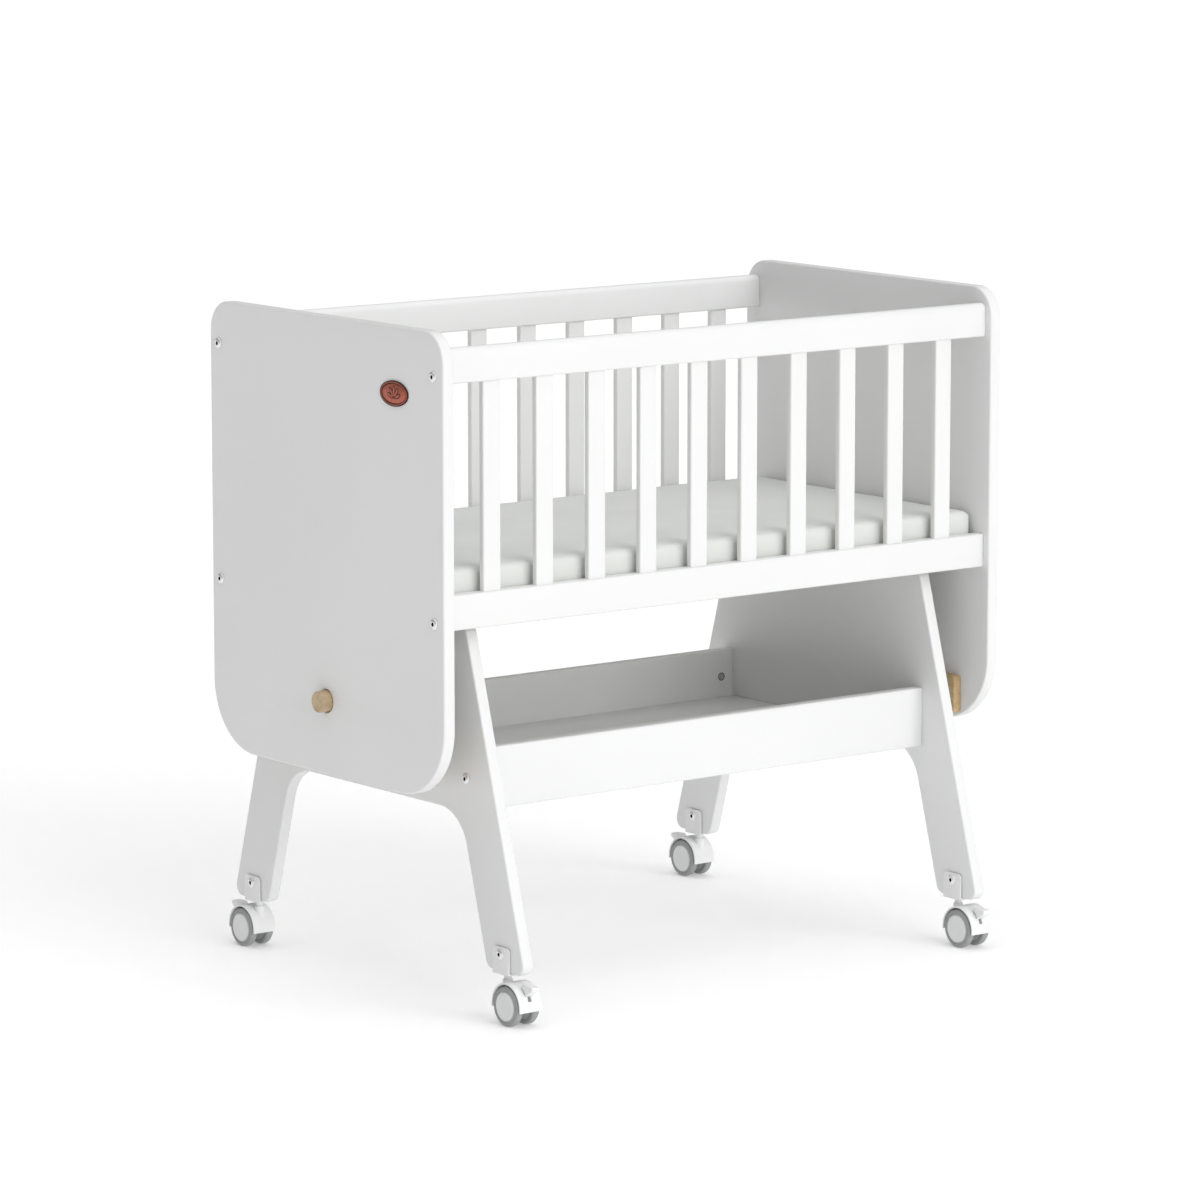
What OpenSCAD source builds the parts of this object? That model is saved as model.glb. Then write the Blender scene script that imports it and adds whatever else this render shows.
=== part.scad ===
// Bedside crib that swings on a wheeled stand.
// Frame: the origin is on the floor under the middle of the crib, +X runs along
// its length, +Y points to its back and +Z is up.  Lengths are in millimetres.

/* [Cradle] */
// Length over the two end panels
crib_len = 895; // [870:1:920]
// Depth of an end panel, front to back
panel_depth = 502.5; // [495:0.5:510]
// Thickness of an end panel
panel_t = 17; // [15:0.5:19]
// Height of the top of an end panel above the floor
panel_top = 855; // [850:1:880]
// Height of the bottom of an end panel above the floor
panel_bottom = 279; // [270:1:284]
// Radius of the top corners of an end panel
panel_top_r = 38; // [20:1:60]
// Radius of the bottom corners of an end panel
panel_bottom_r = 90; // [60:1:95]

/* [Rails and slats] */
// Thickness of a rail, front to back
rail_t = 18; // [16:0.5:20]
// Height of a rail
rail_h = 43.5; // [40:0.5:46]
// Distance of a rail's outer face behind the edge of the end panel
rail_setback = 10.5; // [8:0.5:14]
// Height of the underside of the top rails
top_rail_z = 791; // [780:1:800]
// Height of the underside of the bottom rails
bottom_rail_z = 489; // [488:0.5:494]
// Radius of the two upper edges of a top rail
rail_round = 8; // [4:0.5:8.5]
// Radius of every other long edge of a rail
edge_round = 2.5; // [1:0.5:3]
// Number of slats on each side
slat_count = 10; // [8:1:12]
// Width of a slat
slat_w = 26.5; // [20:0.5:30]
// Thickness of a slat
slat_t = 9; // [7:0.5:11]
// Length of the tongue that goes into the rail at each end of a slat
slat_tongue = 10; // [6:1:14]

/* [Bed base and mattress] */
// Thickness of the plywood bed base
base_t = 6; // [4:0.5:8]
// Width and height of the cleats that carry the bed base
cleat = 12; // [10:1:14]
// Thickness of the mattress
mattress_t = 54; // [40:1:60]
// Gap between the mattress and the end panels
mattress_end_gap = 2; // [1:0.5:6]
// Gap between the mattress and the bottom rails
mattress_side_gap = 1.5; // [1:0.5:6]
// Corner radius of the mattress
mattress_r = 8; // [6:1:30]

/* [Stand] */
// Distance between the outer faces of the two stand frames
stand_len = 750; // [740:1:756]
// Thickness of the stand boards
stand_t = 16.5; // [15:0.5:18]
// Height of the top edge of a stand frame
frame_top = 484; // [476:1:485]
// Height of the underside of the feet of a stand frame
foot_z = 64.3; // [63:0.1:68]
// Half of a stand frame's width, measured 300 mm above the floor
frame_half = 249.2; // [244:0.2:252]
// Outward lean of the legs, in millimetres per millimetre of height
leg_slope = 0.2872; // [0.25:0.01:0.3]
// Width of a leg, measured level
leg_w = 78.5; // [70:0.5:84]
// Height of the underside of the arch between the legs
arch_z = 252.3; // [246:0.1:256]
// Radius of the two corners of the arch
arch_r = 58; // [30:1:70]
// Radius of the corners of a foot
foot_r = 13; // [6:1:16]
// Radius of the top corners of a stand frame
frame_top_r = 10; // [4:1:20]

/* [Tray] */
// Distance from the middle of the crib to the outer face of a tray board
tray_half = 205.2; // [200:0.2:210]
// Height of the underside of a tray board
tray_z = 253.7; // [250:0.1:258]
// Height of a tray board
tray_h = 77.8; // [70:0.2:86]
// Height of the upper face of the tray floor
tray_floor_z = 267; // [264:0.5:270]
// Thickness of the tray floor
tray_floor_t = 4; // [3:0.5:5]
// Depth of the grooves that hold the tray floor
groove_d = 6; // [4:0.5:8]

/* [Swing links] */
// Distance of a link's pivots from the middle of the crib, front to back
link_y = 165; // [160:1:170]
// Height of the lower pivots, on the end panels
link_low_z = 315; // [310:1:318]
// Height of the upper pivots, on the stand frames
link_high_z = 445; // [440:1:450]
// Width of a link
link_w = 18; // [16:1:20]
// Thickness of a link
link_t = 5; // [4:0.5:6]
// Length, front to back, of the wooden pivot blocks
block_len = 70; // [60:1:74]
// Height of the wooden pivot blocks
block_h = 50; // [40:1:52]
// Thickness of the wooden pivot blocks
block_t = 12.5; // [10:0.5:15]

/* [Swing lock] */
// Height of the lock knobs above the floor
lock_z = 372; // [366:1:378]
// Diameter of a lock knob
lock_d = 27; // [24:0.5:28]
// Distance that a lock knob stands out from its end panel when released
lock_out = 13; // [11:0.5:16]
// Travel of a lock knob
lock_travel = 12; // [8:0.5:12]

/* [Badge] */
// Width of the badge
badge_w = 58; // [40:1:60]
// Height of the badge
badge_h = 32; // [24:1:36]
// Thickness of the badge
badge_t = 2; // [1:0.5:3]

/* [Castors] */
// Distance of a castor's swivel axis from the middle of the crib, front to back
castor_y = 271; // [266:1:276]
// Diameter of a castor wheel
wheel_d = 50; // [48:1:50]
// Width of one of the two wheels of a castor
wheel_w = 11.5; // [9:0.5:11.5]
// Distance of the inner face of a wheel from the middle of its castor
wheel_in = 7.2; // [7.2:0.1:8]
// Distance of the wheel axle behind the swivel axis
trail = 17.5; // [16.5:0.5:18.5]
// Outer radius of the castor's hood
hood_r = 29.5; // [28.6:0.1:30]
// Width of the castor's hood
hood_w = 34; // [30:1:36]

/* [Hidden] */
$fn = 64;
eps = 0.01;
BODY_WHITE = [0.93, 0.93, 0.92];
WOOD = [0.78, 0.64, 0.47];
ZINC = [0.72, 0.72, 0.72];

half_len = crib_len / 2;
panel_in = half_len - panel_t;              // inner face of an end panel
panel_half = panel_depth / 2;
rail_out = panel_half - rail_setback;       // outer face of a rail
rail_in = rail_out - rail_t;                // inner face of a rail
rail_y = (rail_out + rail_in) / 2;
rail_len = 2 * panel_in;
slat_gap = (rail_len - slat_count * slat_w) / (slat_count + 1);
slat_pitch = slat_w + slat_gap;
slat_z = bottom_rail_z + rail_h - slat_tongue;
slat_h = top_rail_z + slat_tongue - slat_z;
base_z = bottom_rail_z + cleat;
mattress_z = base_z + base_t;

frame_out = stand_len / 2;                  // outer face of a stand frame
frame_in = frame_out - stand_t;             // inner face of a stand frame
frame_mid = (frame_out + frame_in) / 2;
lean_ref_z = 300;                           // height at which frame_half is measured
tray_in = tray_half - stand_t;

// Furniture bolts: shank, domed head and hexagon socket
bolt_d = 6;
bolt_hole_d = 6.5;
bolt_head_d = 13.5;
bolt_head_h = 3.6;
bolt_dome_r = 13;
socket_af = 5;
socket_depth = 2.6;
rail_bolt_len = 45;
rail_bolt_rise = 9.7;                       // bolt axis above the underside of its rail
tray_bolt_y = tray_half - stand_t / 2;
tray_bolt_z = 294.6;
tray_bolt_len = 43;
nut_d = 10;
nut_len = 14;
nut_inset = 20;                             // middle of a barrel nut from the rail's end
nut_slot_w = 1.4;

// Swing links
link_x = (frame_out + panel_in - block_t) / 2;
pivot_d = 8;
pivot_clear = 0.1;                          // running clearance on the diameter
pivot_head_d = 14;
pivot_head_h = 4;
pivot_bite = 12;                            // length of a pivot bolt inside its board
sleeve_d = 14;
link_play = 0.2;                            // side play of a link on each side
block_r = 6;

// Swing lock
lock_hole_d = lock_d + 2;
lock_tip = frame_out + lock_travel + 0.5;   // inner end of the knob when released
lock_socket_depth = 10;
lock_round = 2.5;
lock_clear = 0.16;                          // running clearance on the diameter
guide_d = 44;
guide_t = 5;
flange_d = 34;                              // flange that keeps the knob from coming out
flange_t = 4;
flange_play = 0.3;

badge_y = -151.8;
badge_z = 773;
badge_pin_d = 4;
badge_pin_len = 8;

// Castors
plate_t = 3.3;
plate_half = 17;
plate_top = 96;
plate_r = 6;
tab_t = 2.8;
tab_reach = 8;                              // reach of the tab past the swivel axis
plate_bolt_z = 86.8;
plate_bolt_len = 15.5;
stem_d = 8;
stem_low = 33;
stem_collar_d = 9.4;
boss_top = 55;
boss_d = 13;
wheel_r = wheel_d / 2;
hub_r = 17.7;
tyre_round = 3.2;
axle_d = 5;
axle_half = 17;
axle_clear = 0.1;
hood_shell = 2.1;
hood_cut_z = 21;
web_half = 5;
web_boss_d = 16;                            // eye of the web round the axle
boss_foot_d = 22;                           // flare of the boss at its foot
boss_foot_z = 30;
hood_slot_w = 4.6;                          // slot for the brake pedal
hood_slot_z = 34.2;
hood_slot_h = 12.8;
hood_slot_from = 16;                        // inner end of the slot behind the axle
pedal_half = 6;
pedal_gap = 1.1;                            // between the pedal and the hood
pedal_pin_d = 3;
pedal_pin_half = 4.6;
pedal_pin_y = 20;                           // pin behind the axle
pedal_pin_z = 41;
pedal_eye_d = 6;
pedal_leg_half = 1.9;
pedal_leg_w = 5;
pedal_leg_len = 7;
pedal_tip_y = 39;                           // end of the pedal behind the axle
pedal_tip_z = 53.6;
pedal_tip_h = 4.8;
pedal_rise = 1.2;                           // of the crest over the tip
pedal_crest_y = 20;
pedal_heel_y = 26.8;
pedal_heel_z = 41.4;
pedal_round = 1.6;

// ---- Shared shapes ----------------------------------------------------------

// Points of an arc, from angle a0 to a1
function arc(cx, cy, r, a0, a1, steps = 16) =
    [for (i = [0:steps]) let (a = a0 + (a1 - a0) * i / steps) [cx + r * cos(a), cy + r * sin(a)]];

// A flat outline drawn as (Y, Z), made into a board from x0 to x1
module board_x(x0, x1) {
    translate([x0, 0, 0]) rotate([90, 0, 90]) linear_extrude(x1 - x0) children();
}

// A round bar along +X
module rod_x(x0, x1, d, y = 0, z = 0) {
    translate([x0, y, z]) rotate([0, 90, 0]) cylinder(h = x1 - x0, d = d);
}

// A rectangle with one radius at its lower corners and one at its upper corners
module round_rect(y0, y1, z0, z1, r_low, r_high) {
    polygon(concat(
        arc(y0 + r_low, z0 + r_low, r_low, 180, 270),
        arc(y1 - r_low, z0 + r_low, r_low, 270, 360),
        arc(y1 - r_high, z1 - r_high, r_high, 0, 90),
        arc(y0 + r_high, z1 - r_high, r_high, 90, 180)));
}

// A furniture bolt along +X, with its seat at x = 0 and its head on the -X side
module furniture_bolt(len) {
    difference() {
        union() {
            rod_x(0, len, bolt_d);
            intersection() {
                rod_x(-bolt_head_h, 0, bolt_head_d);
                translate([bolt_dome_r - bolt_head_h, 0, 0]) sphere(r = bolt_dome_r);
            }
        }
        translate([-bolt_head_h - eps, 0, 0]) rotate([0, 90, 0])
            cylinder(h = socket_depth, d = socket_af / cos(30), $fn = 6);
    }
}

// ---- Cradle -----------------------------------------------------------------

module end_panel(side) {
    color(BODY_WHITE) mirror([side < 0 ? 1 : 0, 0, 0]) difference() {
        board_x(panel_in, half_len)
            round_rect(-panel_half, panel_half, panel_bottom, panel_top, panel_bottom_r, panel_top_r);
        for (y = [-rail_y, rail_y], z = [top_rail_z, bottom_rail_z])
            rod_x(panel_in - 1, half_len + 1, bolt_hole_d, y, z + rail_bolt_rise);
        rod_x(panel_in - 1, half_len + 1, lock_hole_d, 0, lock_z);
        if (side < 0) for (y = [-badge_w / 4, badge_w / 4])
            rod_x(half_len - badge_pin_len, half_len + 1, badge_pin_d, badge_y + y, badge_z);
    }
}

// Holes for the end bolts and their barrel nuts, shared by all four rails
module rail_bores(y, z) {
    for (s = [-1, 1]) mirror([s < 0 ? 1 : 0, 0, 0]) {
        rod_x(panel_in - rail_bolt_len + panel_t - 1, panel_in + 1, bolt_hole_d, y, z + rail_bolt_rise);
        translate([panel_in - nut_inset, y, z - 1]) cylinder(h = nut_len + 3, d = nut_d);
    }
}

// Pockets for the slat tongues, cut from z0 to z1
module slat_pockets(y, z0, z1) {
    for (i = [0:slat_count - 1])
        translate([-panel_in + slat_gap + i * slat_pitch, y - slat_t / 2, z0])
            cube([slat_w, slat_t, z1 - z0]);
}

module rail(y, z, r_high) {
    color(BODY_WHITE) board_x(-panel_in, panel_in)
        round_rect(y - rail_t / 2, y + rail_t / 2, z, z + rail_h, edge_round, r_high);
}

module top_rail(y) {
    difference() {
        rail(y, top_rail_z, rail_round);
        rail_bores(y, top_rail_z);
        slat_pockets(y, top_rail_z - 1, top_rail_z + slat_tongue);
    }
}

module bottom_rail(y) {
    difference() {
        rail(y, bottom_rail_z, edge_round);
        rail_bores(y, bottom_rail_z);
        slat_pockets(y, slat_z, bottom_rail_z + rail_h + 1);
    }
}

module slats(y) {
    color(BODY_WHITE) slat_pockets(y, slat_z, slat_z + slat_h);
}

module base_cleat(side) {
    color(BODY_WHITE) translate([-panel_in + 2, side > 0 ? rail_in - cleat : -rail_in, bottom_rail_z])
        cube([rail_len - 4, cleat, cleat]);
}

module bed_base() {
    color(WOOD) translate([-panel_in + 0.5, -rail_in + 0.3, base_z])
        cube([rail_len - 1, 2 * rail_in - 0.6, base_t]);
}

module mattress() {
    x = panel_in - mattress_end_gap;
    y = rail_in - mattress_side_gap;
    color([0.8, 0.79, 0.77]) translate([0, 0, mattress_z]) linear_extrude(mattress_t)
        round_rect(-x, x, -y, y, mattress_r, mattress_r);
}

module badge() {
    color([0.62, 0.38, 0.26]) translate([-half_len - badge_t, badge_y, badge_z]) {
        rotate([90, 0, 90]) linear_extrude(badge_t)
            polygon([for (a = [0:6:354]) [badge_w / 2 * cos(a), badge_h / 2 * sin(a)]]);
        for (y = [-badge_w / 4, badge_w / 4]) rod_x(badge_t, badge_t + badge_pin_len, badge_pin_d, y, 0);
    }
}

module panel_bolts() {
    color(ZINC) for (s = [-1, 1], y = [-rail_y, rail_y], z = [top_rail_z, bottom_rail_z])
        mirror([s > 0 ? 1 : 0, 0, 0]) translate([-half_len, y, z + rail_bolt_rise])
            furniture_bolt(rail_bolt_len);
}

module rail_barrel_nuts() {
    color(ZINC) for (s = [-1, 1], y = [-rail_y, rail_y], z = [top_rail_z, bottom_rail_z])
        mirror([s < 0 ? 1 : 0, 0, 0]) difference() {
            translate([panel_in - nut_inset, y, z + 2]) cylinder(h = nut_len, d = nut_d);
            rod_x(panel_in - nut_inset - nut_d, panel_in, bolt_d, y, z + rail_bolt_rise);
            translate([panel_in - nut_inset - nut_d, y - nut_slot_w / 2, z + 1])
                cube([2 * nut_d, nut_slot_w, 2]);
        }
}

// ---- Swing links ------------------------------------------------------------

module pivot_blocks(side) {
    color(WOOD) mirror([side < 0 ? 1 : 0, 0, 0]) for (s = [-1, 1]) difference() {
        board_x(panel_in - block_t, panel_in)
            round_rect(s * link_y - block_len / 2, s * link_y + block_len / 2,
                       link_low_z - block_h / 2, link_low_z + block_h / 2, block_r, block_r);
        rod_x(panel_in - block_t - 1, panel_in - block_t + pivot_bite, pivot_d, s * link_y, link_low_z);
    }
}

module link(side, s) {
    color(ZINC) mirror([side < 0 ? 1 : 0, 0, 0]) difference() {
        union() {
            for (z = [link_low_z, link_high_z])
                rod_x(link_x - link_t / 2, link_x + link_t / 2, link_w, s * link_y, z);
            translate([link_x - link_t / 2, s * link_y - link_w / 2, link_low_z])
                cube([link_t, link_w, link_high_z - link_low_z]);
        }
        for (z = [link_low_z, link_high_z])
            rod_x(link_x - link_t, link_x + link_t, pivot_d + pivot_clear, s * link_y, z);
    }
}

// A shouldered pivot bolt along +X: board face at x = 0, far side of the link at x = reach
module link_pivot(reach) {
    rod_x(-pivot_bite, reach + link_play, pivot_d);
    rod_x(reach + link_play, reach + link_play + pivot_head_h, pivot_head_d);
    rod_x(0, reach - link_t - link_play, sleeve_d);
}

module upper_link_pivots() {
    color(ZINC) for (side = [-1, 1], s = [-1, 1]) mirror([side < 0 ? 1 : 0, 0, 0])
        translate([frame_out, s * link_y, link_high_z]) link_pivot(link_x + link_t / 2 - frame_out);
}

module lower_link_pivots() {
    color(ZINC) for (side = [-1, 1], s = [-1, 1]) mirror([side > 0 ? 1 : 0, 0, 0])
        translate([-panel_in + block_t, s * link_y, link_low_z])
            link_pivot(panel_in - block_t - link_x + link_t / 2);
}

// ---- Swing lock -------------------------------------------------------------

module lock_knob(side) {
    flange_x = -panel_in + guide_t + flange_play;
    color(WOOD) mirror([side > 0 ? 1 : 0, 0, 0]) {
        translate([-half_len - lock_out, 0, lock_z]) rotate([0, 90, 0]) rotate_extrude()
            polygon(concat([[0, 0]],
                arc(lock_d / 2 - lock_round, lock_round, lock_round, -90, 0, 8),
                [[lock_d / 2, half_len + lock_out - lock_tip], [0, half_len + lock_out - lock_tip]]));
        rod_x(flange_x, flange_x + flange_t, flange_d, 0, lock_z);
    }
}

// Ring on the inside of an end panel that the lock knob slides in
module lock_guide(side) {
    color(WOOD) mirror([side > 0 ? 1 : 0, 0, 0]) difference() {
        rod_x(-panel_in, -panel_in + guide_t, guide_d, 0, lock_z);
        rod_x(-panel_in - 1, -panel_in + guide_t + 1, lock_d + lock_clear, 0, lock_z);
    }
}

// ---- Stand ------------------------------------------------------------------

// Half width of the stand frame at height z
function frame_w(z) = frame_half + leg_slope * (lean_ref_z - z);

// Rounded corner of radius r at p, between the directions towards a and b
function corner(a, p, b, r, steps = 14) =
    let (u = (a - p) / norm(a - p), v = (b - p) / norm(b - p),
         half = acos(u * v) / 2,
         c = p + (u + v) / norm(u + v) * r / sin(half),
         s = p + u * r / tan(half), e = p + v * r / tan(half),
         a0 = atan2(s[1] - c[1], s[0] - c[0]),
         turn = atan2(e[1] - c[1], e[0] - c[0]) - a0,
         sweep = turn > 180 ? turn - 360 : turn < -180 ? turn + 360 : turn)
    arc(c[0], c[1], r, a0, a0 + sweep, steps);

// Right half of the frame's outline, from the top edge round the foot to the arch
function frame_side() =
    let (top = [frame_w(frame_top), frame_top], toe = [frame_w(foot_z), foot_z],
         heel = [frame_w(foot_z) - leg_w, foot_z], crown = [frame_w(arch_z) - leg_w, arch_z])
    concat(corner([0, frame_top], top, toe, frame_top_r), corner(top, toe, heel, foot_r),
           corner(toe, heel, crown, foot_r), corner(heel, crown, [0, arch_z], arch_r));

module frame_outline() {
    right = frame_side();
    last = len(right) - 1;
    polygon(concat(right, [for (i = [last:-1:0]) [-right[i][0], right[i][1]]]));
}

module stand_frame(side) {
    // The castor plates and their bolts come from the left on both frames
    bolt_end = side < 0 ? frame_out + plate_t - plate_bolt_len : frame_in - plate_t + plate_bolt_len;
    color(BODY_WHITE) mirror([side < 0 ? 1 : 0, 0, 0]) difference() {
        board_x(frame_in, frame_out) frame_outline();
        for (s = [-1, 1]) {
            rod_x(frame_in - 1, frame_out + 1, bolt_hole_d, s * tray_bolt_y, tray_bolt_z);
            rod_x(frame_out - pivot_bite, frame_out + 1, pivot_d, s * link_y, link_high_z);
            if (side < 0)
                rod_x(bolt_end, frame_out + 1, bolt_d, s * castor_y, plate_bolt_z);
            else
                rod_x(frame_in - 1, bolt_end, bolt_d, s * castor_y, plate_bolt_z);
        }
        rod_x(frame_out - lock_socket_depth, frame_out + 1, lock_hole_d, 0, lock_z);
    }
}

module tray_board(side) {
    color(BODY_WHITE) mirror([0, side > 0 ? 1 : 0, 0]) difference() {
        board_x(-frame_in, frame_in)
            round_rect(-tray_half, -tray_in, tray_z, tray_z + tray_h, edge_round, edge_round);
        translate([-frame_in - 1, -tray_in - groove_d, tray_floor_z - tray_floor_t])
            cube([2 * frame_in + 2, groove_d + 1, tray_floor_t]);
        for (s = [-1, 1]) mirror([s < 0 ? 1 : 0, 0, 0]) {
            rod_x(frame_out - tray_bolt_len - 1, frame_in + 1, bolt_hole_d, -tray_bolt_y, tray_bolt_z);
            translate([frame_in - nut_inset, -tray_in + 1, tray_bolt_z]) rotate([90, 0, 0])
                cylinder(h = nut_len + 1, d = nut_d);
        }
    }
}

module tray_floor() {
    color(BODY_WHITE) translate([-frame_in + 0.3, -tray_in - groove_d + 0.5, tray_floor_z - tray_floor_t])
        cube([2 * frame_in - 0.6, 2 * (tray_in + groove_d - 0.5), tray_floor_t]);
}

module stand_bolts() {
    color(ZINC) for (s = [-1, 1], y = [-tray_bolt_y, tray_bolt_y])
        mirror([s > 0 ? 1 : 0, 0, 0]) translate([-frame_out, y, tray_bolt_z])
            furniture_bolt(tray_bolt_len);
}

module tray_barrel_nuts() {
    color(ZINC) for (sx = [-1, 1], sy = [-1, 1])
        mirror([sx < 0 ? 1 : 0, 0, 0]) mirror([0, sy > 0 ? 1 : 0, 0]) difference() {
            translate([frame_in - nut_inset, -tray_in - 0.4, tray_bolt_z]) rotate([90, 0, 0])
                cylinder(h = nut_len - 0.4, d = nut_d);
            rod_x(frame_in - nut_inset - nut_d, frame_in, bolt_d, -tray_bolt_y, tray_bolt_z);
            translate([frame_in - nut_inset - nut_d, -tray_in - 2, tray_bolt_z - nut_slot_w / 2])
                cube([2 * nut_d, 2, nut_slot_w]);
        }
}

// ---- Castors ----------------------------------------------------------------

// Places a castor's own parts: swivel axis on Z, wheels towards -Y on the front
// castors and towards +Y on the rear ones
module at_castor(sx, sy) {
    translate([sx * frame_mid, sy * castor_y, 0]) rotate([0, 0, sy > 0 ? 180 : 0]) children();
}

// Bent steel plate on the left face of a leg, with the swivel stem under the leg
module castor_bracket(sx, sy) {
    half_t = stand_t / 2;
    color(BODY_WHITE) translate([sx * frame_mid, sy * castor_y, 0]) {
        difference() {
            board_x(-half_t - plate_t, -half_t)
                round_rect(-plate_half, plate_half, foot_z - tab_t, plate_top, 1, plate_r);
            rod_x(-half_t - plate_t - 1, 0, bolt_hole_d, 0, plate_bolt_z);
        }
        translate([-half_t, -plate_half + 1, foot_z - tab_t])
            cube([half_t + tab_reach, 2 * plate_half - 2, tab_t]);
        translate([0, 0, boss_top + 0.3]) cylinder(h = foot_z - tab_t - boss_top, d = stem_collar_d);
        translate([0, 0, stem_low]) cylinder(h = foot_z - stem_low, d = stem_d);
    }
}

module castor_bolts() {
    color(ZINC) for (sx = [-1, 1], sy = [-1, 1])
        translate([sx * frame_mid - stand_t / 2 - plate_t, sy * castor_y, plate_bolt_z])
            furniture_bolt(plate_bolt_len);
}

// Fork, boss and hood of a castor in one moulding
module castor_hood(sx, sy) {
    color(BODY_WHITE) at_castor(sx, sy) difference() {
        union() {
            difference() {
                union() {
                    rod_x(-hood_w / 2, hood_w / 2, 2 * hood_r, -trail, wheel_r);
                    translate([0, 0, boss_foot_z])
                        cylinder(h = boss_top - boss_foot_z, d1 = boss_foot_d, d2 = boss_d);
                }
                rod_x(-hood_w, hood_w, 2 * (hood_r - hood_shell), -trail, wheel_r);
                translate([-hood_w, -trail - 2 * hood_r, -hood_r])
                    cube([2 * hood_w, 4 * hood_r, hood_r + hood_cut_z]);
            }
            difference() {
                rod_x(-web_half, web_half, 2 * hood_r - 1, -trail, wheel_r);
                translate([-hood_w, -trail - 2 * hood_r, -hood_r])
                    cube([2 * hood_w, 4 * hood_r, hood_r + hood_cut_z]);
            }
            rod_x(-web_half, web_half, web_boss_d, -trail, wheel_r);
            translate([0, 0, stem_low - 3]) cylinder(h = boss_top - stem_low + 3, d = boss_d);
        }
        translate([0, 0, stem_low - 0.3]) cylinder(h = boss_top, d = stem_d + pivot_clear);
        rod_x(-hood_w, hood_w, axle_d, -trail, wheel_r);
        // Slot and pin bore for the brake pedal
        translate([-hood_slot_w / 2, -trail - 2 * hood_r, hood_slot_z])
            cube([hood_slot_w, 2 * hood_r - hood_slot_from, hood_slot_h]);
        rod_x(-web_half - 1, web_half + 1, pedal_pin_d + pivot_clear, -trail - pedal_pin_y, pedal_pin_z);
    }
}

module castor_axle(sx, sy) {
    color(ZINC) at_castor(sx, sy) rod_x(-axle_half, axle_half, axle_d, -trail, wheel_r);
}

// One wheel: a hub disc with a soft tyre moulded round it
module castor_wheel(sx, sy, side) {
    rim_x = wheel_in + wheel_w - 0.5;
    color([0.62, 0.62, 0.62]) at_castor(sx, sy) mirror([side * sy > 0 ? 1 : 0, 0, 0])
        difference() {
            translate([0, -trail, wheel_r]) rotate([0, 90, 0]) union() {
                rotate_extrude() polygon(concat([[0, wheel_in]],
                    arc(wheel_r - tyre_round, wheel_in + tyre_round, tyre_round, -90, 0, 8),
                    arc(wheel_r - tyre_round, rim_x - tyre_round, tyre_round, 0, 90, 8),
                    [[0, rim_x]]));
                translate([0, 0, wheel_in]) cylinder(h = wheel_w, r = hub_r);
            }
            rod_x(wheel_in - 1, axle_half + 0.3, axle_d + axle_clear, -trail, wheel_r);
        }
}

// Foot pedal over the trailing side of the hood, on a leg that is pinned in the web
module brake_pedal(sx, sy) {
    crest = [-trail - pedal_crest_y, pedal_tip_z + pedal_rise];
    tip = [-trail - pedal_tip_y, pedal_tip_z];
    under = [-trail - pedal_tip_y, pedal_tip_z - pedal_tip_h];
    heel = [-trail - pedal_heel_y, pedal_heel_z];
    pin = [-trail - pedal_pin_y, pedal_pin_z];
    root = [-trail - pedal_crest_y * 0.75, pedal_pin_z + pedal_leg_len];
    color(BODY_WHITE) at_castor(sx, sy) {
        difference() {
            board_x(-pedal_half, pedal_half) polygon(concat(
                [root], corner(root, crest, tip, 3 * pedal_round, 8),
                corner(crest, tip, under, pedal_round, 6),
                corner(tip, under, heel, pedal_round, 6), [heel], [pin]));
            rod_x(-hood_w, hood_w, 2 * (hood_r + pedal_gap), -trail, wheel_r);
        }
        board_x(-pedal_leg_half, pedal_leg_half) translate(pin) {
            circle(d = pedal_eye_d);
            rotate(180 - atan2(pedal_pin_z - wheel_r, pedal_pin_y)) translate([0, -pedal_leg_w / 2])
                square([pedal_leg_len, pedal_leg_w]);
        }
        rod_x(-pedal_pin_half, pedal_pin_half, pedal_pin_d, -trail - pedal_pin_y, pedal_pin_z);
    }
}

// ---- Nodes ------------------------------------------------------------------

end_panel(-1);  // left_end_panel
end_panel(1);  // right_end_panel
top_rail(-rail_y);  // front_top_rail
top_rail(rail_y);  // back_top_rail
bottom_rail(-rail_y);  // front_bottom_rail
bottom_rail(rail_y);  // back_bottom_rail
slats(-rail_y);  // front_slats
slats(rail_y);  // back_slats
bed_base();
base_cleat(-1);  // front_base_cleat
base_cleat(1);  // back_base_cleat
mattress();
badge();
pivot_blocks(-1);  // left_pivot_blocks
pivot_blocks(1);  // right_pivot_blocks
panel_bolts();
rail_barrel_nuts();
lower_link_pivots();
stand_frame(-1);  // left_stand_frame
stand_frame(1);  // right_stand_frame
tray_board(-1);  // front_tray_board
tray_board(1);  // back_tray_board
tray_floor();
stand_bolts();
tray_barrel_nuts();
upper_link_pivots();
link(-1, -1);  // front_left_link
link(1, -1);  // front_right_link
link(-1, 1);  // rear_left_link
link(1, 1);  // rear_right_link
lock_knob(-1);  // left_lock_knob
lock_knob(1);  // right_lock_knob
lock_guide(-1);  // left_lock_guide
lock_guide(1);  // right_lock_guide
castor_bracket(-1, -1);  // front_left_castor_bracket
castor_bracket(1, -1);  // front_right_castor_bracket
castor_bracket(-1, 1);  // rear_left_castor_bracket
castor_bracket(1, 1);  // rear_right_castor_bracket
castor_bolts();
castor_hood(-1, -1);  // front_left_castor_hood
castor_axle(-1, -1);  // front_left_castor_axle
brake_pedal(-1, -1);  // front_left_brake_pedal
castor_wheel(-1, -1, -1);  // front_left_castor_left_wheel
castor_wheel(-1, -1, 1);  // front_left_castor_right_wheel
castor_hood(1, -1);  // front_right_castor_hood
castor_axle(1, -1);  // front_right_castor_axle
brake_pedal(1, -1);  // front_right_brake_pedal
castor_wheel(1, -1, -1);  // front_right_castor_left_wheel
castor_wheel(1, -1, 1);  // front_right_castor_right_wheel
castor_hood(-1, 1);  // rear_left_castor_hood
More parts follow.
